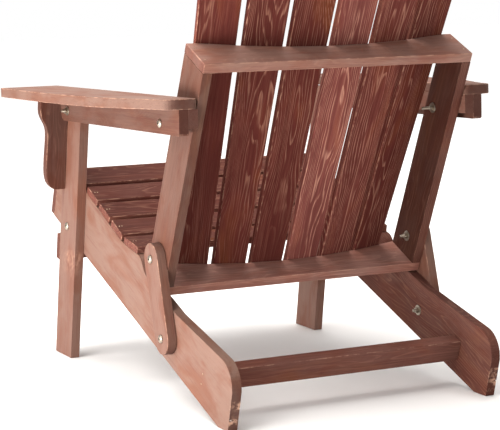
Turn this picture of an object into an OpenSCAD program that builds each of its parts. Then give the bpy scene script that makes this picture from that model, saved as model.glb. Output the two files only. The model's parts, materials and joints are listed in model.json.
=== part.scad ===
// Folding adirondack chair: seat frame on two rear feet, a pair of front legs, two arms,
// a pair of links and a slatted back. Faces -Y, stands on z = 0, +X is the sitter's left.
// Side profiles are drawn in a plane (front to back, height) and set upright as boards.

/* [Overall] */
// Width across the outer faces of the side stringers
frame_w = 536; // [500:1:560]
// Thickness of the side boards, rails and arms
board_t = 18; // [16:0.5:18]
// Working gap between boards that turn against each other
gap = 0.4; // [0.3:0.05:0.5]

/* [Seat frame] */
// Slope of the stringers' straight bottom edge
bottom_slope = 19.62; // [19:0.01:20]
// Width of an inner seat slat
slat_w = 54; // [48:1:56]
// Width of the first and last seat slats
slat_wide = 62; // [56:1:63]
// Thickness of the seat slats
slat_t = 14; // [12:0.5:15]
// Gap between seat slats
slat_gap = 11.5; // [9:0.5:12]
// Slope of the main run of seat slats
seat_slope = 23; // [22:0.1:23.5]
// Distance between the two brads at each end of a slat
brad_pair = 5.5; // [4:0.5:8]
// Height of the front apron board
apron_h = 56; // [40:1:56]
// Height of the rear stretcher's section
bar_h = 40; // [34:1:42]
// Depth of the rear stretcher's section
bar_d = 25; // [20:1:27]

/* [Front legs] */
// Width of a front leg
leg_w = 83; // [82.5:0.1:83.2]
// Lean of the front legs, tops rearwards
leg_lean = 9.65; // [9.6:0.01:9.7]
// Width of the board across the front of both legs
leg_bar_h = 52; // [40:1:56]

/* [Arms] */
// Depth of the outer arm rail
rail_h = 45; // [42:0.5:46]
// Depth of the inner arm rail
inner_rail_h = 34; // [30:0.5:36]
// Width of an arm board at the front
arm_w = 124; // [110:1:130]
// Rise of the arms towards the rear
arm_slope = 1.32; // [1.2:0.01:1.4]

/* [Back] */
// Lean of the back from upright
back_lean = 24; // [23.5:0.1:24.2]
// Width of an upright, front to back
upright_w = 80; // [74:1:82]
// Thickness of the back slats
back_slat_t = 15; // [10:0.5:16]
// Width of a back slat at the bottom rail
back_slat_w = 63.5; // [56:0.5:65]
// Height of the middle back slats along the back, from the lower pivot
back_top = 735; // [660:5:760]

/* [Links and bolts] */
// Radius of a link's round ends
link_r = 29; // [24:1:30]
// Radius of the pivot bolts
bolt_r = 3; // [2.5:0.1:3]
// Running clearance of a bolt in its hole
bore_gap = 0.1; // [0.05:0.01:0.1]
// Extra radius of the upright's hole round the arm bolt
arm_hole_gap = 6.5; // [6.4:0.1:6.6]

/* [Hidden] */
$fn = 64;
hw = frame_w / 2;
t = board_t;
y_mid = 417.4;
x_leg = hw + gap;
x_rail = x_leg + t + gap;
pin_leg = [-699, 266.5];
pin_arm = [-634, 502];
pin_rear = [-192.5, 510.5];
pin_back = [-287, 257.8];
pin_link = [-246.4, 119.9];
back_org = [-289, 257.3];
leg_org = [-738.5, 0];
arm_z = 541.4;
foot_y = -55;
heel = [-46, 74];
heel_r = 48.5;
nose = [-820.3, -tan(bottom_slope) * (-820.3 - foot_y)];
crest = [-699.8, 380.1];
rail_s = [-37, 392];
fan_r = 380;
sag = 2112;
pitch0 = 74.5;
pitch1 = 85.5;

function dir(a) = [cos(a), sin(a)];
function nrm(a) = [-sin(a), cos(a)];
function cross2(a, b) = a[0] * b[1] - a[1] * b[0];
function meet(p, u, q, v) = p + u * (cross2(q - p, v) / cross2(u, v));
// smooth run through four points, with the last one left off
function bend(a, b, c, d, n) = [for (i = [0:n - 1]) let (f = i / n)
    a * pow(1 - f, 3) + b * 3 * f * pow(1 - f, 2) + c * 3 * f * f * (1 - f) + d * pow(f, 3)];

// points on a round stretch from angle a to angle b
function arc(c, r, a, b, n) = [for (i = [0:n]) c + r * dir(a + (b - a) * i / n)];
link_a = atan2(pin_back[1] - pin_link[1], pin_back[0] - pin_link[0]);

// seat slats, front to rear: slope, width and top front edge
seat_a = [28, 12, -seat_slope, -seat_slope, -seat_slope, -seat_slope, -10];
seat_wd = [50, 50, slat_wide, slat_w, slat_w, slat_w, slat_wide];
nose1 = crest - slat_gap * dir(4) - 50 * dir(12);
nose0 = nose1 - slat_gap * dir(20) - 50 * dir(28);
function run(i) = i == 2 ? crest
    : run(i - 1) + seat_wd[i - 1] * dir(seat_a[i - 1]) + slat_gap * dir((seat_a[i - 1] + seat_a[i]) / 2);
function seat_p(i) = i == 0 ? nose0 : i == 1 ? nose1 : run(i);
function under(i, f) = seat_p(i) + f * seat_wd[i] * dir(seat_a[i]) - slat_t * nrm(seat_a[i]);
last = under(6, 1);
front_top = meet(nose, nrm(-bottom_slope), under(0, 0), dir(seat_a[0]));

// a board whose outline lies in the side plane, from x0 outwards
module board(x0, w) translate([x0, 0, 0]) rotate([90, 0, 90]) linear_extrude(w) children();
// a round hole or pin across the chair at a side-plane point
module cross_pin(p, x0, x1, r) translate([x0, p[0], p[1]]) rotate([0, 90, 0]) cylinder(r = r, h = x1 - x0);
module at(p) translate([0, p[0], p[1]]) children();
module chair() translate([0, y_mid, 0]) children();
module right() mirror([1, 0, 0]) children();

module stringer_shape() {
    outline = concat([nose, front_top], [for (i = [0:6], f = [0, 1]) if (i + f > 0) under(i, f)],
        bend(last + [6, -1], last + [26, -6], [-366, 222], [-351, 216], 8),
        [[-351, 216], [-330, 204.5], [-300, 194], [-274, 186.5], [-219, 166.3], [-116, 140.6]],
        arc(heel, heel_r, 76, -4, 10), [[-17, 0], [foot_y, 0]]);
    polygon(outline);
}

module stringer_left() color("sienna") chair() difference() {
    board(hw - t, t) stringer_shape();
    cross_pin(pin_leg, hw - t - 1, hw + 1, bolt_r);
    cross_pin(pin_link, hw - t - 1, hw + 1, bolt_r);
}
module stringer_right() right() stringer_left();

module front_apron() color("sienna") chair() at(nose) rotate([-bottom_slope, 0, 0])
    translate([-hw, -t, 0]) cube([frame_w, t, apron_h]);

module seat_slat(i) color("peru") chair() at(seat_p(i)) rotate([seat_a[i], 0, 0])
    translate([-hw, 0, -slat_t]) cube([frame_w, seat_wd[i], slat_t]);
module seat_slat_1() seat_slat(0);
module seat_slat_2() seat_slat(1);
module seat_slat_3() seat_slat(2);
module seat_slat_4() seat_slat(3);
module seat_slat_5() seat_slat(4);
module seat_slat_6() seat_slat(5);
module seat_slat_7() seat_slat(6);

module rear_stretcher() color("sienna") chair() at([-97, 86]) rotate([-bottom_slope, 0, 0])
    translate([-hw + t, -bar_d, -bar_h]) cube([frame_w - 2 * t, bar_d, bar_h]);

// brad heads stand a little proud of the slat ends and the stringers
module seat_brads() color("silver") chair() {
    for (i = [0:6], sx = [-1, 1], f = [-0.5, 0.5]) at(seat_p(i)) rotate([seat_a[i], 0, 0])
        translate([sx * (hw - t / 2) + f * brad_pair, 0.46 * seat_wd[i], 0])
            cylinder(r = 1.1, h = 0.4, $fn = 24);
    for (sx = [-1, 1], f = [0.25, 0.75]) at([-97, 86]) rotate([-bottom_slope, 0, 0])
        translate([sx * hw - (sx < 0 ? 0.4 : 0), -bar_d / 2, -f * bar_h]) rotate([0, 90, 0])
            cylinder(r = 1.6, h = 0.4, $fn = 24);
}

// domed head whose flat side is at z = 0
module dome() intersection() {
    translate([0, 0, 4 - 10]) sphere(10, $fn = 40);
    cylinder(r = 8, h = 4, $fn = 40);
}
// bolt with its dome at x0 outside and its nut and washer on the face at x1, running inwards
module bolt(p, x0, x1, tail) at(p) {
    translate([x0, 0, 0]) rotate([0, 90, 0]) dome();
    translate([x1 - tail, 0, 0]) rotate([0, 90, 0]) cylinder(r = bolt_r, h = x0 - x1 + tail + 1);
    translate([x1 - 1.5, 0, 0]) rotate([0, 90, 0]) cylinder(r = 10, h = 1.5);
    translate([x1 - 6.5, 0, 0]) rotate([0, 90, 0]) cylinder(r = 5.8, h = 5, $fn = 6);
}

module frame_bolts() color("silver") chair() for (m = [0, 1]) mirror([m, 0, 0]) {
    bolt(pin_leg, x_leg + t + gap, hw - t, 12);
    bolt(pin_link, x_leg + t + gap, hw - t, 12);
}

module leg_shape() {
    c = leg_org[0];
    k = tan(leg_lean);
    h = leg_w / 2 / cos(leg_lean);
    r = pin_arm[1] - 501.8 + 23.4;
    polygon([[c - h, 0], [c + h, 0], [c + h + k * 500, 500], [pin_arm[0], pin_arm[1] + r],
        [c - h + k * 523.5, 523.5]]);
    translate(pin_arm) circle(r);
}
module leg_left() color("sienna") chair() difference() {
    board(x_leg, t) leg_shape();
    cross_pin(pin_leg, x_leg - 1, x_leg + t + 1, bolt_r + bore_gap);
    cross_pin(pin_arm, x_leg - 1, x_leg + t + 1, bolt_r);
}
module leg_right() right() leg_left();

module leg_frame() at(leg_org) rotate([-leg_lean, 0, 0]) children();
module leg_stretcher() color("sienna") chair() leg_frame()
    translate([-x_leg - t, -leg_w / 2 - t, 239.2 - leg_bar_h]) cube([2 * (x_leg + t), t, leg_bar_h]);

// arm bracket: plate across the chair on the leg's outer face, flush with the leg's front
module bracket_left() color("sienna") chair() leg_frame()
    translate([x_leg + t, -leg_w / 2 + t, 0]) rotate([90, 0, 0]) linear_extrude(t)
        polygon(concat([[0, 341], [0, 521.5], [58, 521.5]],
            bend([58, 503], [57, 480], [41, 478], [41, 448], 8),
            bend([41, 448], [41, 425], [43, 405], [42, 380], 5),
            bend([42, 380], [41, 355], [33, 342], [19, 341], 7), [[19, 341]]));
module bracket_right() right() bracket_left();

// arm pivot bolts: fixed in the legs, nuts outside the outer rails
module arm_pivot_bolts() color("silver") chair() for (m = [0, 1]) mirror([m, 0, 0]) at(pin_arm) {
    translate([x_leg, 0, 0]) rotate([0, -90, 0]) dome();
    translate([x_leg - 1, 0, 0]) rotate([0, 90, 0]) cylinder(r = bolt_r, h = 2 * t + 2 * gap + 13);
    translate([x_rail + t + gap, 0, 0]) rotate([0, 90, 0]) cylinder(r = 9, h = 1.5);
    translate([x_rail + t + gap + 1.5, 0, 0]) rotate([0, 90, 0]) cylinder(r = 5.8, h = 5, $fn = 6);
}

module arm_frame() at([0, arm_z]) rotate([arm_slope, 0, 0]) children();
module arm_board_left() color("peru") chair() arm_frame() translate([x_leg + gap, 0, 0]) linear_extrude(t)
    polygon(concat([[0, -774], [4, -780], [arm_w - 9, -780]],
        bend([arm_w - 9, -780], [arm_w - 3, -780], [arm_w - 1, -774], [arm_w - 1, -768], 4),
        bend([arm_w - 1, -768], [arm_w + 5, -640], [arm_w + 6, -420], [arm_w - 12, -305], 10),
        bend([arm_w - 12, -305], [arm_w - 25, -235], [arm_w - 55, -190], [arm_w - 61, -137], 8),
        bend([arm_w - 61, -137], [arm_w - 64, -118], [arm_w - 74, -113], [arm_w - 88, -112], 6),
        bend([arm_w - 88, -112], [20, -112], [9, -112], [9, -112], 1),
        bend([9, -112], [4, -112], [0, -116], [0, -121], 4), [[0, -121]]));
module rail_outer_left() color("sienna") chair() difference() {
    arm_frame() board(x_rail, t) difference() {
        translate([-672, -rail_h]) square([559, rail_h]);
        translate([-672, -rail_h]) square(20);
        translate([-113 - 5, -rail_h]) square(5);
    }
    cross_pin(pin_arm, x_rail - 1, x_rail + t + 1, bolt_r + bore_gap);
    cross_pin(pin_rear, x_rail - 1, x_rail + t + 1, bolt_r);
}
module rail_round_left() arm_frame() board(x_rail, t) {
    intersection() {
        translate([-672, -rail_h]) square(20);
        translate([-652, -rail_h + 20]) circle(20);
    }
    intersection() {
        translate([-118, -rail_h]) square(5);
        translate([-118, -rail_h + 5]) circle(5);
    }
}
module arm_rail_outer_left() color("sienna") {
    rail_outer_left();
    chair() rail_round_left();
}
module arm_rail_inner_left() color("sienna") chair() difference() {
    arm_frame() board(x_rail - t, t) translate([-545, -inner_rail_h]) square([432, inner_rail_h]);
    cross_pin(pin_rear, x_leg - 1, x_rail + 1, bolt_r);
}
module arm_bolt_left() color("silver") chair() bolt(pin_rear, x_rail + t, hw - t - gap, 24);
module arm_board_right() right() arm_board_left();
module arm_rail_outer_right() right() arm_rail_outer_left();
module arm_rail_inner_right() right() arm_rail_inner_left();
module arm_bolt_right() right() arm_bolt_left();

module link_bar_left() color("peru") chair() difference() {
    board(x_leg, t) polygon(concat(arc(pin_back, link_r, link_a - 90, link_a + 90, 24),
        arc(pin_link, link_r, link_a + 90, link_a + 270, 24)));
    cross_pin(pin_link, x_leg - 1, x_leg + t + 1, bolt_r + bore_gap);
    cross_pin(pin_back, x_leg - 1, x_leg + t + 1, bolt_r + bore_gap);
}
module link_bar_right() right() link_bar_left();

module back_frame() at(back_org) rotate([-back_lean, 0, 0]) children();
module upright_left() color("sienna") chair() difference() {
    back_frame() translate([hw - t, -upright_w / 2, rail_s[0]]) cube([t, upright_w, rail_s[1] - rail_s[0]]);
    cross_pin(pin_back, hw - t - 1, hw + 1, bolt_r);
    cross_pin(pin_rear, hw - t - 1, hw + 1, bolt_r + arm_hole_gap);
}
module upright_right() right() upright_left();

// depth of the rails' front edge from their rear edge, on the facet behind slat k
function depth(k, x) = 53 + ((pitch0 + pitch1) * k * x - pitch0 * pitch1 * k * k) / sag;
function joint_x(k) = pitch0 * pitch1 * (2 * k + 1) / (pitch0 + pitch1);
module rail(s) color("sienna") chair() back_frame() translate([0, upright_w / 2, s]) linear_extrude(t)
    polygon(concat([[hw, 0], [-hw, 0], [-hw, -depth(2.5, hw - t)], [-hw + t, -depth(2.5, hw - t)]],
        [for (k = [-2.5:1:1.5]) [joint_x(k), -depth(k, joint_x(k))]],
        [[hw - t, -depth(2.5, hw - t)], [hw, -depth(2.5, hw - t)]]));
module bottom_rail() rail(rail_s[0] - t);
module top_rail() rail(rail_s[1]);

function wide(s) = back_slat_w + (s - rail_s[0]) * 0.0224;
function pitch(s) = pitch0 + (s - rail_s[0]) * (pitch1 - pitch0) / (rail_s[1] + t - rail_s[0]);
module back_slat(k) color("peru") chair() back_frame() intersection() {
    b = atan((pitch0 + pitch1) * k / sag);
    s0 = rail_s[0] - t;
    x0 = k * pitch(s0);
    s1 = back_top + 20;
    m = k * (pitch(s1) - pitch(s0)) / cos(b);
    translate([x0, upright_w / 2 - depth(k, x0) - gap, s0]) rotate([0, 0, -b]) rotate([90, 0, 0])
        linear_extrude(back_slat_t) polygon([[-wide(s0) / 2, 0], [wide(s0) / 2, 0],
            [m + wide(s1) / 2, s1 - s0], [m - wide(s1) / 2, s1 - s0]]);
    union() {
        translate([0, 0, back_top - fan_r]) rotate([90, 0, 0]) cylinder(r = fan_r, h = 400, center = true, $fn = 128);
        translate([-400, -200, s0 - 5]) cube([800, 400, back_top - fan_r - s0 + 5]);
    }
}
module back_slat_1() back_slat(2.5);
module back_slat_2() back_slat(1.5);
module back_slat_3() back_slat(0.5);
module back_slat_4() back_slat(-0.5);
module back_slat_5() back_slat(-1.5);
module back_slat_6() back_slat(-2.5);

module back_bolts() color("silver") chair() for (m = [0, 1]) mirror([m, 0, 0])
    bolt(pin_back, x_leg + t + gap, hw - t, 16);
module rail_brads() color("silver") chair() back_frame()
    for (sx = [-1, 1], v = [-22, 22]) translate([sx * (hw - t / 2), v, rail_s[1] + t])
        cylinder(r = 1.6, h = 0.4, $fn = 24);

stringer_left();
stringer_right();
front_apron();
seat_slat_1();
seat_slat_2();
seat_slat_3();
seat_slat_4();
seat_slat_5();
seat_slat_6();
seat_slat_7();
rear_stretcher();
seat_brads();
frame_bolts();
leg_left();
leg_right();
leg_stretcher();
bracket_left();
bracket_right();
arm_pivot_bolts();
arm_board_left();
arm_rail_outer_left();
arm_rail_inner_left();
arm_bolt_left();
arm_board_right();
arm_rail_outer_right();
arm_rail_inner_right();
arm_bolt_right();
link_bar_left();
link_bar_right();
upright_left();
upright_right();
bottom_rail();
top_rail();
back_slat_1();
back_slat_2();
back_slat_3();
back_slat_4();
back_slat_5();
back_slat_6();
back_bolts();
rail_brads();
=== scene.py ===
"""Folding adirondack chair: boards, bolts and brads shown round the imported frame."""
import json
import math
import random

import bmesh
import bpy
from mathutils import Matrix, Vector, noise


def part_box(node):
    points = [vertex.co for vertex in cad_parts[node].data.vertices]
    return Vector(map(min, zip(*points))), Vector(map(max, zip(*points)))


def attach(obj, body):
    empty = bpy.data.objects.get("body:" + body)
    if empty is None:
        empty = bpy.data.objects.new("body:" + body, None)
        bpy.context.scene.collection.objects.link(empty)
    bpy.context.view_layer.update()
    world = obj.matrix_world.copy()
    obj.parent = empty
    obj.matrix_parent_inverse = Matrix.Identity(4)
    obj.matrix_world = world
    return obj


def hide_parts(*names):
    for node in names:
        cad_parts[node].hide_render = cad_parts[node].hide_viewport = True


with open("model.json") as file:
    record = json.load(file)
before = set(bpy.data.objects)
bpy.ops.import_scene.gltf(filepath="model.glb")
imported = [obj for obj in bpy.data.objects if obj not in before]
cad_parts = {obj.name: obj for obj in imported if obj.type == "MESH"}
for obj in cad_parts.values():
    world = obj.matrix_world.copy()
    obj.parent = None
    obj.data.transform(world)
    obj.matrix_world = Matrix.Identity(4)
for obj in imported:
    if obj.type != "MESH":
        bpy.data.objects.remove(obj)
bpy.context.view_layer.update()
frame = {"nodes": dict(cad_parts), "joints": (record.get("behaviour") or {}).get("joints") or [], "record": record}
scene = bpy.context.scene

# ---------------------------------------------------------------- places from the frame
JOINT = {j["name"]: Vector(j["pos_m"]) for j in frame["joints"]}
BODY_OF = {n: b for b, ns in frame["record"]["behaviour"]["bodies"].items() for n in ns}
LEG_PIN, ARM_PIN = JOINT["legs_fold"], JOINT["arm_left_pivot"]
BACK_PIN, LINK_PIN = JOINT["back_fold"], JOINT["link_left_pivot"]


def centre(node):
    """Middle of a CAD node's box."""
    lo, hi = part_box(node)
    return (lo + hi) / 2


REAR_PIN = centre("arm_bolt_left")
X_UPRIGHT_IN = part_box("upright_left")[0].x
X_LEG_IN, X_LEG_OUT = (p.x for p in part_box("leg_left"))
X_RAIL_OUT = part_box("arm_rail_outer_left")[1].x

# direction of the grain of each kind of board
BACK_LEAN = math.radians(24)
UP_BACK = Vector((0, math.sin(BACK_LEAN), math.cos(BACK_LEAN)))
UP_LEG = Vector((0, 0.1676, 0.9858))
ALONG_STRINGER = Vector((0, 0.942, -0.336))
ALONG_ARM = Vector((0, 1, 0.023))
ALONG_LINK = (BACK_PIN - LINK_PIN).normalized()
ACROSS = Vector((1, 0, 0))
FAN_LEAN = 11 / 447     # how much further each slat of the fan leans than the one before it
FAN_MIDDLE = 3.5        # the fan stands upright halfway between slats 3 and 4


def grain_of(node):
    """Direction of the grain of a board."""
    if node.startswith("stringer"):
        return ALONG_STRINGER
    if node.startswith("bracket") or node in ("leg_left", "leg_right"):
        return UP_LEG
    if node.startswith("upright"):
        return UP_BACK
    if node.startswith("arm_"):
        return ALONG_ARM
    if node.startswith("link_bar"):
        return ALONG_LINK
    if node.startswith("back_slat"):
        fan = int(node[-1]) - FAN_MIDDLE
        return (UP_BACK - ACROSS * fan * FAN_LEAN).normalized()
    return ACROSS


# ---------------------------------------------------------------- node trees
class Nodes:
    """Short calls for building one material's node tree."""

    def __init__(self, name):
        self.mat = bpy.data.materials.new(name)
        self.mat.use_nodes = True
        self.tree = self.mat.node_tree
        self.bsdf = self.tree.nodes["Principled BSDF"]

    def link(self, a, b):
        self.tree.links.new(a, b)

    def add(self, kind, **values):
        n = self.tree.nodes.new(kind)
        for k, v in values.items():
            setattr(n, k, v)
        return n

    def put(self, n, socket, value):
        """Links a socket, or sets a plain number."""
        if hasattr(value, "is_linked"):
            self.link(value, n.inputs[socket])
        else:
            n.inputs[socket].default_value = value

    def attribute(self, name, output="Fac"):
        return self.add("ShaderNodeAttribute", attribute_name=name).outputs[output]

    def object_place(self):
        return self.add("ShaderNodeTexCoord").outputs["Object"]

    def math(self, op, a, b=0.0):
        n = self.add("ShaderNodeMath", operation=op)
        self.put(n, 0, a)
        self.put(n, 1, b)
        return n.outputs[0]

    def plus(self, a, b):
        return self.math("ADD", a, b)

    def minus(self, a, b):
        return self.math("SUBTRACT", a, b)

    def times(self, a, b):
        return self.math("MULTIPLY", a, b)

    def flip(self, a):
        return self.minus(1.0, a)

    def scaled(self, vec, scale, shift=(0, 0, 0)):
        n = self.add("ShaderNodeMapping")
        self.put(n, "Vector", vec)
        n.inputs["Scale"].default_value = scale
        n.inputs["Location"].default_value = shift
        return n.outputs[0]

    def noise(self, vec, scale, detail=4.0, rough=0.55, warp=0.0):
        n = self.add("ShaderNodeTexNoise")
        self.put(n, "Vector", vec)
        n.inputs["Scale"].default_value = scale
        n.inputs["Detail"].default_value = detail
        n.inputs["Roughness"].default_value = rough
        n.inputs["Distortion"].default_value = warp
        return n.outputs["Fac"]

    def stretched(self, vec, scale, detail, rough=0.55, warp=0.0, shift=(0, 0, 0)):
        """Noise with a scale of its own along each axis."""
        return self.noise(self.scaled(vec, scale, shift), 1.0, detail, rough, warp)

    def ramp(self, fac, *stops):
        """Colour ramp of two stops."""
        n = self.add("ShaderNodeValToRGB")
        self.put(n, 0, fac)
        for element, (place, colour) in zip(n.color_ramp.elements, stops):
            element.position = place
            element.color = (*colour, 1.0)
        return n.outputs["Color"]

    def fade(self, fac, lo, hi):
        """Smooth step from 0 at lo to 1 at hi; lo may be the larger one."""
        n = self.add("ShaderNodeMapRange", interpolation_type="SMOOTHSTEP")
        self.put(n, "Value", fac)
        n.inputs["From Min"].default_value = lo
        n.inputs["From Max"].default_value = hi
        return n.outputs["Result"]

    def mix(self, fac, a, b):
        n = self.add("ShaderNodeMix", data_type="RGBA", blend_type="MIX")
        self.put(n, 0, fac)
        for i, v in ((6, a), (7, b)):
            if hasattr(v, "is_linked"):
                self.link(v, n.inputs[i])
            else:
                n.inputs[i].default_value = (*v, 1.0)
        return n.outputs[2]

    def tint(self, base, fac, most, colour):
        """Base with up to `most` of a colour laid over it where fac is 1."""
        return self.mix(self.times(fac, most), base, colour)

    def bump(self, height, strength, distance):
        n = self.add("ShaderNodeBump")
        n.inputs["Strength"].default_value = strength
        n.inputs["Distance"].default_value = distance
        self.put(n, "Height", height)
        return n.outputs[0]


# ---------------------------------------------------------------- stained wood and steel
DEEP = (0.040, 0.010, 0.008)
BODY = (0.124, 0.037, 0.031)
RED = (0.154, 0.044, 0.037)
PALE = (0.40, 0.20, 0.145)
HONEY = (0.27, 0.095, 0.036)
# milky pale coat: partly thin stain, partly painted sheen on the lit boards
MILKY_AND_SHEEN = (0.262, 0.174, 0.136)
MILKY_WARM_AND_SHEEN = (0.225, 0.118, 0.082)
KNOT_RIM = (0.12, 0.035, 0.018)
SOAKED_END = (0.055, 0.017, 0.013)
RUBBED = (0.56, 0.33, 0.23)
BARE = (0.80, 0.74, 0.68)
RINGS_PER_M = 250.0
KNOT_PULL = 8.0         # by how many rings a knot pulls the figure aside
KNOT_CELLS = (2.6, 9.0, 6.0)


def stained_wood():
    """Red-brown stained softwood: flat-sawn rings, fine fibres, knots, thin stain at edges."""
    m = Nodes("stained_wood")
    grain = m.attribute("grain", "Vector")
    tone_and_shade, wear = m.attribute("tone_and_shade"), m.attribute("wear")
    figure, cut = m.attribute("figure"), m.attribute("cut")

    # growth rings: distance from a pith line below the board, bent by slow noise
    bend = m.stretched(grain, (1.6, 9, 9), 2.0)
    ripple = m.stretched(grain, (4.5, 26, 26), 2.0, shift=(3, 1, 7))
    place = m.add("ShaderNodeSeparateXYZ")
    m.link(grain, place.inputs[0])
    across = m.plus(place.outputs[1], m.times(m.minus(bend, 0.5), 0.10))
    deep = m.plus(place.outputs[2], m.times(m.minus(ripple, 0.5), 0.035))
    radius = m.math("SQRT", m.plus(m.times(across, across), m.times(deep, deep)))

    # knots pull the rings into ovals
    cells = m.add("ShaderNodeTexVoronoi", feature="F1")
    m.put(cells, "Vector", m.scaled(grain, KNOT_CELLS))
    cells.inputs["Scale"].default_value = 1.0
    cells.inputs["Randomness"].default_value = 1.0
    knot = cells.outputs["Distance"]
    pull = m.flip(m.fade(knot, 0.05, 0.42))
    saw = m.math("FRACT", m.plus(m.times(radius, RINGS_PER_M), m.times(pull, KNOT_PULL)))

    # late wood: pale lines at the end of each ring, broken up and shown in patches
    late = m.times(m.fade(saw, 0.58, 0.90), m.flip(m.fade(saw, 0.92, 1.0)))
    broken = m.fade(m.stretched(grain, (20, 420, 420), 2.0, shift=(2, 8, 5)), 0.30, 0.62)
    late = m.times(m.times(late, figure), broken)
    patches = m.fade(m.stretched(grain, (1.4, 7, 7), 1.0, shift=(4, 4, 1)), 0.30, 0.52)
    rings = m.times(late, patches)

    # stain in blotches and streaks, with the rings over it
    fibre = m.stretched(grain, (14, 900, 900), 3.0, 0.6)
    fleck = m.stretched(grain, (30, 520, 520), 3.0, 0.65, shift=(7, 7, 2))
    streak = m.stretched(grain, (5, 150, 150), 4.0, 0.6, 0.4, (9, 2, 4))
    blotch = m.stretched(grain, (5, 14, 14), 3.0, 0.5, 0.8, (1, 5, 2))
    base = m.mix(m.fade(blotch, 0.33, 0.70), BODY, RED)
    base = m.tint(base, m.fade(blotch, 0.52, 0.80), 0.40, HONEY)
    base = m.tint(base, m.fade(streak, 0.52, 0.80), 0.26, PALE)
    base = m.tint(base, m.fade(streak, 0.62, 0.30), m.plus(0.06, m.times(figure, 0.24)), DEEP)
    base = m.tint(base, rings, 0.80, PALE)

    # smooth side boards carry a thinner, milkier coat of stain; on the brightly lit left stringer and left arm
    # board this milky paleness is also a painted sheen
    cloud = m.stretched(grain, (9, 22, 22), 3.0, 0.6, 0.5, (6, 3, 8))
    milk_and_sheen = m.mix(m.fade(cloud, 0.40, 0.64), MILKY_AND_SHEEN, MILKY_WARM_AND_SHEEN)
    base = m.tint(base, m.flip(figure), 0.72, milk_and_sheen)

    # fibres and flecks
    base = m.tint(base, m.fade(fibre, 0.55, 0.80), 0.24, PALE)
    base = m.tint(base, m.fade(fibre, 0.46, 0.24), 0.34, DEEP)
    base = m.tint(base, m.fade(fleck, 0.40, 0.28), 0.40, BODY)
    base = m.tint(base, m.fade(streak, 0.44, 0.30), 0.30, BODY)

    # some of the knots show a dark rim and a honey-coloured heart
    draw = m.noise(m.scaled(cells.outputs["Position"], (1, 1, 1), (2, 9, 3)), 3.1, 0.0)
    chosen = m.math("GREATER_THAN", draw, 0.56)
    rim = m.times(m.flip(m.fade(knot, 0.045, 0.075)), chosen)
    heart = m.times(m.flip(m.fade(knot, 0.018, 0.04)), chosen)
    base = m.tint(base, rim, 0.85, KNOT_RIM)
    base = m.tint(base, heart, 0.6, HONEY)

    # each board's own tone, which also carries painted shade on shaded boards and the painted light and shade of
    # narrow faces
    hsv = m.add("ShaderNodeHueSaturation")
    m.link(base, hsv.inputs["Color"])
    m.link(m.plus(0.78, m.times(tone_and_shade, 0.45)), hsv.inputs["Value"])
    m.link(m.minus(1.06, m.times(tone_and_shade, 0.05)), hsv.inputs["Saturation"])

    # cut ends drink more stain; edges have it rubbed thin or chipped off
    base = m.tint(hsv.outputs["Color"], cut, 0.62, SOAKED_END)
    rub = m.stretched(grain, (60, 120, 120), 4.0, 0.6)
    base = m.tint(base, m.times(wear, m.fade(rub, 0.42, 0.66)), 0.55, RUBBED)
    splinters = m.stretched(grain, (190, 260, 260), 4.0, 0.75)
    chip = m.fade(m.times(m.minus(wear, 1.0), splinters), 0.42, 0.49)
    base = m.mix(chip, base, BARE)

    m.link(base, m.bsdf.inputs["Base Color"])
    m.link(m.plus(0.50, m.times(m.plus(fibre, blotch), 0.12)), m.bsdf.inputs["Roughness"])
    m.link(m.times(m.minus(1.05, figure), 0.12), m.bsdf.inputs["Specular IOR Level"])
    height = m.plus(m.plus(m.times(fibre, 0.6), m.times(rings, 0.5)), m.times(chip, -1.2))
    m.link(m.bump(height, 0.55, 0.0005), m.bsdf.inputs["Normal"])
    return m.mat


def plated_steel(name, tint, rough):
    """Plated steel with crystal mottling, fine turning marks and a little dirt."""
    m = Nodes(name)
    place = m.object_place()
    mottle = m.noise(place, 420.0, 3.0)
    grime = m.noise(place, 160.0, 4.0, 0.65)
    scratch = m.stretched(place, (300, 2600, 2600), 2.0)
    shaded = tuple(c * 0.82 for c in tint)
    dirty = tuple(c * 0.55 for c in tint)
    colour = m.ramp(mottle, (0.30, shaded), (0.70, tint))
    colour = m.tint(colour, m.fade(grime, 0.55, 0.75), 0.65, dirty)
    m.link(colour, m.bsdf.inputs["Base Color"])
    m.bsdf.inputs["Metallic"].default_value = 1.0
    m.link(m.plus(rough, m.times(grime, 0.25)), m.bsdf.inputs["Roughness"])
    m.link(m.bump(scratch, 0.25, 0.0001), m.bsdf.inputs["Normal"])
    return m.mat


WOOD = stained_wood()
ZINC = plated_steel("zinc_plate", (0.40, 0.345, 0.28), 0.24)
# painted shade: near-black steel for the floor of the hexagon socket, standing in for shade in the recess
SOCKET_SHADE = plated_steel("socket_shade", (0.10, 0.09, 0.08), 0.45)
BRAD = plated_steel("brad_steel", (0.46, 0.33, 0.23), 0.42)

# ---------------------------------------------------------------- how each board came out
# lightness of the stain, from -1 dark to 1.7 light; the dark values on the seat slats, the uprights, the right
# stringer, the brackets and the outer arm rails are painted shade
SIDE_TONE, SEAT_TONE_AND_SHADE, TONE_SPREAD = 0.06, -0.55, 0.12
TONE_AND_SHADE = {
    "back_slat_1": -0.15, "back_slat_2": -0.12, "back_slat_3": -0.20,
    "back_slat_4": 1.2, "back_slat_5": 0.35, "back_slat_6": 0.0,
    "upright_left": -0.56, "upright_right": -1.0, "top_rail": 1.0, "bottom_rail": 1.7,
    "stringer_left": 0.10, "stringer_right": -0.30, "rear_stretcher": 0.22,
    "leg_left": 0.02, "link_bar_left": 0.04, "bracket_left": -0.62, "bracket_right": -0.62,
    "arm_board_left": 0.20, "arm_rail_outer_left": -0.58, "arm_rail_outer_right": -0.58}
# painted light and shade: how much lighter the narrow faces of a board are painted than its broad ones, as the
# light falls on them (negative values paint them darker)
SEAT_RIM_LIGHT = 0.55
RIM_LIGHT_AND_SHADE = {"upright_right": 0.70, "arm_board_left": -0.35, "arm_board_right": -0.30}
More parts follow.
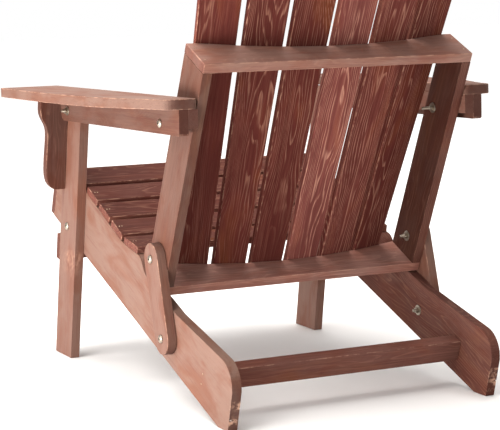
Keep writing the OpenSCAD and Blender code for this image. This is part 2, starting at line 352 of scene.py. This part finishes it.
# how far the cut ends soaked up the stain
SEAT_SOAK, SOAK = 0.2, 1.0


def figure_of(node):
    """How strongly the growth rings show: 1 on the back slats, 0 on the milkiest boards, where the milky coat is
    partly painted sheen.
    """
    if node.startswith("back_slat"):
        return 1.0
    if node.startswith("seat_slat"):
        return 0.8
    if node in ("rear_stretcher", "upright_right", "stringer_right"):
        return 0.62
    if node in ("front_apron", "leg_stretcher", "bottom_rail") or node.startswith("bracket"):
        return 0.46
    # the brightly lit left stringer and left arm board take the full milky coat, partly as painted sheen
    if node in ("stringer_left", "arm_board_left"):
        return 0.0
    if node.startswith(("arm_rail", "upright", "top_rail")):
        return 0.28
    return 0.16


# ---------------------------------------------------------------- boards
EDGE = 0.0016           # rounding of sawn edges
STEP = 0.022            # spacing of the cuts that let a board wave
WAVE = 0.00024          # how far a planed face departs from flat
RAGGED = ("stringer_left", "stringer_right")
HEEL_LO, HEEL_HI = 0.010, 0.054
HEEL_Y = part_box("stringer_left")[1].y - 0.03
CHIP_STEP, CHIP_DEPTH, CHIP_BAND = 0.003, 0.0012, 0.0015


def on_heel(co, normal):
    """The scuffed stretch of a rear foot, just above the floor."""
    return HEEL_LO < co.z < HEEL_HI and co.y > HEEL_Y and normal.y > 0.45


def edge_wear(node, co, normal, flat):
    """0 on faces, 1 on rounded edges, up to 2 on the chipped heels of the rear feet."""
    if node in RAGGED and on_heel(co, normal):
        return 1.0 + math.sin(math.pi * (co.z - HEEL_LO) / (HEEL_HI - HEEL_LO)) ** 0.5
    nearest = max(normal.dot(n) for n in flat)
    return min(1.0, max(0.0, (0.995 - nearest) * 8.0))


def broad_faces(bm, along):
    """Normal of the board's widest face, across the grain, and every flat face's normal."""
    areas = {}
    for f in bm.faces:
        key = tuple(round(c, 2) for c in f.normal)
        areas[key] = areas.get(key, 0.0) + f.calc_area()
    flat = [Vector(k).normalized() for k, area in areas.items() if area > 2e-5]
    across = [k for k in areas if abs(Vector(k).dot(along)) < 0.1]
    thick = Vector(max(across, key=lambda k: areas[k]))
    return (thick - along * thick.dot(along)).normalized(), flat


def cut_plane(bm, geom, place, normal):
    bmesh.ops.bisect_plane(bm, geom=geom, plane_co=place, plane_no=normal, dist=1e-6)


def cut_heel(bm):
    """Close level cuts through the end of a rear foot, for the chips."""
    for i in range(int((HEEL_HI - HEEL_LO) / CHIP_STEP) + 3):
        low = [f for f in bm.faces if f.calc_center_median().y > HEEL_Y - 0.2]
        parts = {v for f in low for v in f.verts} | {e for f in low for e in f.edges} | set(low)
        cut_plane(bm, list(parts), (0, 0, HEEL_LO + (i - 1) * CHIP_STEP), (0, 0, 1))


def board_mesh(node, rng):
    """The CAD board with rounded, slightly uneven edges and grain coordinates."""
    bm = bmesh.new()
    bm.from_mesh(frame["nodes"][node].data)
    bmesh.ops.remove_doubles(bm, verts=bm.verts, dist=2e-5)
    bmesh.ops.dissolve_limit(bm, angle_limit=math.radians(1.0), verts=bm.verts, edges=bm.edges)
    along = grain_of(node).normalized()
    thick, flat = broad_faces(bm, along)
    side = thick.cross(along)
    sharp = [e for e in bm.edges
             if len(e.link_faces) == 2 and e.calc_face_angle(0.0) > math.radians(28)]
    bmesh.ops.bevel(bm, geom=sharp, offset=EDGE, offset_type="OFFSET", segments=3, profile=0.55,
                    affect="EDGES", clamp_overlap=True)
    ragged = node in RAGGED
    if ragged:      # a narrow band beside the edge keeps the chips off the side faces
        sides = [f for f in bm.faces if abs(f.normal.dot(thick)) > 0.999]
        bmesh.ops.inset_region(bm, faces=sides, thickness=CHIP_BAND, use_boundary=True,
                               use_even_offset=True)
    mid = centre(node)
    reach = [(v.co - mid).dot(along) for v in bm.verts]
    for i in range(1, max(2, int((max(reach) - min(reach)) / STEP))):
        cut_plane(bm, bm.verts[:] + bm.edges[:] + bm.faces[:],
                  mid + along * (min(reach) + i * STEP), along)
    if ragged:
        cut_heel(bm)
    bm.normal_update()

    # faces wave and heels lose chips, always inwards and inside the CAD box
    lo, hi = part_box(node)
    seed = Vector((rng.uniform(0, 50), rng.uniform(0, 50), rng.uniform(0, 50)))
    for v in bm.verts:
        inward = -abs(noise.noise(v.co * 34 + seed)) * WAVE
        if ragged and on_heel(v.co, v.normal):
            inward -= max(0.0, noise.noise(v.co * 130 + seed) + 0.25) * CHIP_DEPTH
        v.co += v.normal * inward
        v.co = Vector(min(max(c, a), b) for c, a, b in zip(v.co, lo, hi))
    mesh = bpy.data.meshes.new(node + "_board")
    bm.to_mesh(mesh)
    bm.free()

    # grain coordinates: metres along, across and through the board from a pith line
    pith = Vector((rng.uniform(0, 40), rng.uniform(-0.03, 0.03), rng.uniform(0.012, 0.05)))
    seat = node.startswith("seat_slat")
    # the board's tone: its own stain, plus painted shade on boards that sit in shade
    tone_and_shade = TONE_AND_SHADE.get(node, SEAT_TONE_AND_SHADE if seat else SIDE_TONE)
    tone_and_shade += rng.uniform(-TONE_SPREAD, TONE_SPREAD)
    # painted light and shade for the narrow faces of this board
    rim = RIM_LIGHT_AND_SHADE.get(node, SEAT_RIM_LIGHT if seat else 0.0)
    soak = SEAT_SOAK if seat else SOAK
    grain, tones_and_shade, wears = [], [], []
    for v in mesh.vertices:
        p = v.co - mid
        grain += (p.dot(along) + pith.x, p.dot(side) + pith.y, p.dot(thick) + pith.z)
        # painted light and shade: narrow faces get the rim offset on top of the board's tone
        tones_and_shade.append(tone_and_shade + (rim if abs(v.normal.dot(thick)) < 0.5 else 0.0))
        wears.append(edge_wear(node, v.co, v.normal, flat))
    cuts = [soak * abs(f.normal.dot(along)) ** 3 for f in mesh.polygons]
    values = {
        "grain": ("FLOAT_VECTOR", "POINT", "vector", grain),
        "tone_and_shade": ("FLOAT", "POINT", "value", tones_and_shade),
        "wear": ("FLOAT", "POINT", "value", wears),
        "figure": ("FLOAT", "POINT", "value", [figure_of(node)] * len(wears)),
        "cut": ("FLOAT", "FACE", "value", cuts)}
    for name, (kind, domain, field, numbers) in values.items():
        mesh.attributes.new(name, kind, domain).data.foreach_set(field, numbers)
    mesh.set_sharp_from_angle(angle=math.radians(38))
    return mesh


def add_board(node):
    piece = bpy.data.objects.new(node + ".board", board_mesh(node, random.Random(node)))
    scene.collection.objects.link(piece)
    piece.data.materials.append(WOOD)
    weighted = piece.modifiers.new("even_shading", "WEIGHTED_NORMAL")
    weighted.keep_sharp = True
    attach(piece, BODY_OF[node])
    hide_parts(node)


# ---------------------------------------------------------------- bolts
HEAD_R, HEAD_H, HEAD_TURNS = 0.0078, 0.0038, 48
SOCKET_R, SOCKET_DEEP = 0.0026, 0.0022      # hexagon socket, from its middle to a flat
WASHER_R, SMALL_WASHER_R, WASHER_HOLE = 0.0098, 0.0089, 0.0031
WASHER_T, WASHER_EDGE, WASHER_TURNS = 0.0015, 0.00025, 40
NUT_R, NUT_T, NUT_CHAMFER, NUT_TURNS = 0.0057, 0.005, 0.0006, 36
ROD_R, ROD_PITCH, ROD_TURNS = 0.00285, 0.00125, 28
ROD_SUNK = 0.002        # how far the threaded end starts inside the board
HEAD_PROUD = 0.0004     # clearance between a moving board and a bolt head
FRAME_TAIL, BACK_TAIL, ARM_TAIL, REAR_TAIL = 0.012, 0.016, 0.0128, 0.024


def ring(bm, a, radii):
    """Ring of vertices about the X axis, one for each radius, at a along it."""
    turns = len(radii)
    return [bm.verts.new((a, r * math.cos(t), r * math.sin(t)))
            for r, t in zip(radii, (2 * math.pi * i / turns for i in range(turns)))]


def lathe(bm, profile, turns):
    """Revolves (along, radius) points about +X; ends at radius 0 close the solid."""
    rings = [ring(bm, a, [r] * (turns if r > 1e-7 else 1)) for a, r in profile]
    for low, high in zip(rings, rings[1:]):
        for i in range(turns):
            j = (i + 1) % turns
            a, b = (low[i], low[j]) if len(low) > 1 else (low[0],) * 2
            c, d = (high[j], high[i]) if len(high) > 1 else (high[0],) * 2
            corners = list(dict.fromkeys((a, b, c, d)))
            if len(corners) > 2:
                bm.faces.new(corners)


def capped(bm, rows):
    """Closed skin over (along, radii) rows, with a flat cap on each end."""
    rings = [ring(bm, a, radii) for a, radii in rows]
    for low, high in zip(rings, rings[1:]):
        for i in range(len(low)):
            j = (i + 1) % len(low)
            bm.faces.new((low[i], low[j], high[j], high[i]))
    bm.faces.new(rings[0][::-1])
    bm.faces.new(rings[-1])


def hexagon(flat, turns):
    """Radii round a hexagon whose flats are this far from its middle."""
    return [flat / math.cos(math.radians((i * 360 / turns) % 60 - 30)) for i in range(turns)]


def dome_head(bm, x, way):
    """Round head standing on x, with a hexagon socket sunk in its top."""
    hexes = hexagon(SOCKET_R, HEAD_TURNS)
    rows = [(0.0, [HEAD_R * 0.96] * HEAD_TURNS), (0.0004, [HEAD_R] * HEAD_TURNS)]
    for k in range(1, 8):
        f = k / 8 * 0.93 * math.pi / 2
        rows.append((HEAD_H * math.sin(f) ** 0.9, [HEAD_R * math.cos(f) ** 0.75] * HEAD_TURNS))
    rows += [(HEAD_H * 0.99, [r * 1.06 for r in hexes]), (HEAD_H * 0.93, hexes),
             (HEAD_H - SOCKET_DEEP, hexes)]
    capped(bm, [(x + way * a, radii) for a, radii in rows])


def threads(bm, x0, x1):
    """Threaded rod from x0 to x1 with real ridges."""
    lo, hi = min(x0, x1), max(x0, x1)
    n = max(2, int((hi - lo) / (ROD_PITCH / 2)))
    ridges = [(lo + (hi - lo) * i / n, ROD_R * (1.0 if i % 2 else 0.88)) for i in range(1, n)]
    tip = ROD_R * 0.8
    lathe(bm, [(lo, 0.0), (lo, tip), *ridges, (hi, tip), (hi, 0.0)], ROD_TURNS)


def hex_nut(bm, x0, x1):
    """Hexagon nut with chamfered corners between x0 and x1."""
    lo, hi = min(x0, x1), max(x0, x1)
    flat = NUT_R * math.cos(math.radians(30))
    full = [min(NUT_R, r) for r in hexagon(flat, NUT_TURNS)]
    small = [min(r, flat * 0.99) for r in full]
    capped(bm, [(lo, small), (lo + NUT_CHAMFER, full), (hi - NUT_CHAMFER, full), (hi, small)])


def washer(bm, x0, x1, r):
    """Flat ring with softened outer edges between x0 and x1."""
    lo, hi = min(x0, x1), max(x0, x1)
    e = WASHER_EDGE
    lathe(bm, [(lo, WASHER_HOLE), (lo, r - e), (lo + e, r), (hi - e, r), (hi, r - e),
               (hi, WASHER_HOLE), (lo, WASHER_HOLE)], WASHER_TURNS)


def in_socket(face, head_x, way):
    """True for the floor of the socket, which gets a dark steel as painted shade in the recess."""
    c = face.center
    return (0 <= (c.x - head_x) * way < 0.0034 and math.hypot(c.y, c.z) < 0.0031
            and abs(face.normal.x) > 0.9)


def bolt_piece(name, pin, head_x, way, washer_x, tail, body, washer_r=WASHER_R):
    """Dome head at head_x facing way; washer, nut and thread end at washer_x face the other."""
    bm = bmesh.new()
    dome_head(bm, head_x, way)
    nut_x = washer_x - way * WASHER_T
    washer(bm, washer_x, nut_x, washer_r)
    hex_nut(bm, nut_x, nut_x - way * NUT_T)
    threads(bm, washer_x + way * ROD_SUNK, washer_x - way * tail)
    bmesh.ops.recalc_face_normals(bm, faces=bm.faces)
    mesh = bpy.data.meshes.new(name)
    bm.to_mesh(mesh)
    bm.free()
    mesh.materials.append(ZINC)
    mesh.materials.append(SOCKET_SHADE)
    # socket floor faces take the painted shade material
    for f in mesh.polygons:
        if in_socket(f, head_x, way):
            f.material_index = 1
    mesh.set_sharp_from_angle(angle=math.radians(35))
    piece = bpy.data.objects.new(name, mesh)
    scene.collection.objects.link(piece)
    piece.location = (0, pin.y, pin.z)
    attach(piece, body)
    return piece


frame_bolts, arm_pivots, back_bolts = [], [], []
for side, s in (("left", 1), ("right", -1)):
    head_x = s * (X_LEG_OUT + HEAD_PROUD)
    inner_x = s * X_UPRIGHT_IN
    for name, pin in (("leg_bolt", LEG_PIN), ("link_bolt", LINK_PIN)):
        frame_bolts.append(bolt_piece(f"{name}_{side}", pin, head_x, s, inner_x, FRAME_TAIL,
                                      "seat_frame"))
    back_bolts.append(bolt_piece(f"back_bolt_{side}", BACK_PIN, head_x, s, inner_x, BACK_TAIL,
                                 "back"))
    arm_pivots.append(bolt_piece(f"arm_front_bolt_{side}", ARM_PIN, s * X_LEG_IN, -s,
                                 s * (X_RAIL_OUT + HEAD_PROUD), ARM_TAIL, "front_legs",
                                 SMALL_WASHER_R))
    rear = bolt_piece(f"arm_rear_bolt_{side}", REAR_PIN, s * X_RAIL_OUT, s,
                      s * (X_UPRIGHT_IN - HEAD_PROUD), REAR_TAIL, f"arm_{side}")
    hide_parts(f"arm_bolt_{side}")
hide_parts("frame_bolts")
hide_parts("arm_pivot_bolts")
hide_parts("back_bolts")

for name in sorted(n for n in frame["nodes"] if "bolt" not in n and "brads" not in n):
    add_board(name)
for name in ("seat_brads", "rail_brads"):
    materials = frame["nodes"][name].data.materials
    materials.clear()
    materials.append(BRAD)

# ---------------------------------------------------------------- floor and light
FLOOR_SIZE, FLOOR_DROP = 14.0, 0.0005
FLOOR_COLOUR = (0.90, 0.895, 0.885)
FLOOR_GLOW, GLOW_FROM, GLOW_TO = 0.48, 1.0, 4.5     # the floor melts into the backdrop
SKY_LIGHT, BACKDROP_LIGHT = 0.62, 1.0
LAMP_COLOUR = (1.0, 0.97, 0.94)


def pale_floor():
    m = Nodes("pale_floor")
    place = m.object_place()
    shaded = tuple(c * 0.99 for c in FLOOR_COLOUR)
    speckle = m.ramp(m.noise(place, 3.0, 2.0), (0.3, shaded), (0.7, FLOOR_COLOUR))
    m.link(speckle, m.bsdf.inputs["Base Color"])
    m.bsdf.inputs["Roughness"].default_value = 0.7
    m.bsdf.inputs["Emission Color"].default_value = (1.0, 1.0, 1.0, 1.0)
    distance = m.add("ShaderNodeVectorMath", operation="LENGTH")
    m.link(place, distance.inputs[0])
    glow = m.times(m.fade(distance.outputs["Value"], GLOW_FROM, GLOW_TO), FLOOR_GLOW)
    m.link(glow, m.bsdf.inputs["Emission Strength"])
    return m.mat


def add_floor():
    bm = bmesh.new()
    bmesh.ops.create_grid(bm, x_segments=8, y_segments=8, size=FLOOR_SIZE)
    mesh = bpy.data.meshes.new("floor")
    bm.to_mesh(mesh)
    bm.free()
    mesh.materials.append(pale_floor())
    floor = bpy.data.objects.new("floor", mesh)
    scene.collection.objects.link(floor)
    floor.location.z = -FLOOR_DROP


def add_world():
    """Soft light from all round, and a plain white backdrop for the camera."""
    world = bpy.data.worlds.new("studio")
    scene.world = world
    world.use_nodes = True
    nodes, links = world.node_tree.nodes, world.node_tree.links
    sky = nodes["Background"]
    sky.inputs["Color"].default_value = (1.0, 0.99, 0.98, 1.0)
    sky.inputs["Strength"].default_value = SKY_LIGHT
    backdrop = nodes.new("ShaderNodeBackground")
    backdrop.inputs["Color"].default_value = (1.0, 1.0, 1.0, 1.0)
    backdrop.inputs["Strength"].default_value = BACKDROP_LIGHT
    seen = nodes.new("ShaderNodeLightPath")
    either = nodes.new("ShaderNodeMixShader")
    links.new(seen.outputs["Is Camera Ray"], either.inputs[0])
    links.new(sky.outputs[0], either.inputs[1])
    links.new(backdrop.outputs[0], either.inputs[2])
    links.new(either.outputs[0], nodes["World Output"].inputs["Surface"])


def softbox(name, place, target, size, power):
    light = bpy.data.lights.new(name, "AREA")
    light.shape = "RECTANGLE"
    light.size, light.size_y = size
    light.energy = power
    light.color = LAMP_COLOUR
    lamp = bpy.data.objects.new(name, light)
    scene.collection.objects.link(lamp)
    lamp.location = place
    lamp.rotation_euler = (Vector(target) - Vector(place)).to_track_quat("-Z", "Y").to_euler()
    lamp.visible_camera = False


add_floor()
add_world()
softbox("key_left", (2.1, 0.5, 2.3), (0.35, 0.1, 0.1), (1.7, 1.7), 52.0)
softbox("low_left", (1.7, 0.35, 0.22), (0.27, 0.2, 0.08), (1.5, 0.35), 42.0)
softbox("overhead", (0.1, -0.7, 3.2), (0.0, -0.3, 0.0), (3.0, 3.0), 175.0)
scene.view_settings.view_transform = "Standard"

# ---------------------------------------------------------------- camera
# behind the chair on the sitter's left, slightly above the arms, looking forward
EYE = Vector((1.6023, 3.1691, 0.7977))
GAZE = Vector((-0.4444, -0.8889, -0.1109)).normalized()
RIGHT = Vector((-0.8937, 0.4484, -0.0131))
LENS, SENSOR = 134.45, 36.0
SHIFT_X, SHIFT_Y = -0.0013, -0.1037
right = (RIGHT - GAZE * RIGHT.dot(GAZE)).normalized()
up = right.cross(GAZE)
cam_data = bpy.data.cameras.new("view")
cam_data.lens, cam_data.sensor_width = LENS, SENSOR
cam_data.shift_x, cam_data.shift_y = SHIFT_X, SHIFT_Y
camera = bpy.data.objects.new("view", cam_data)
scene.collection.objects.link(camera)
camera.matrix_world = Matrix((
    (right.x, up.x, -GAZE.x, EYE.x),
    (right.y, up.y, -GAZE.y, EYE.y),
    (right.z, up.z, -GAZE.z, EYE.z),
    (0, 0, 0, 1)))
scene.camera = camera
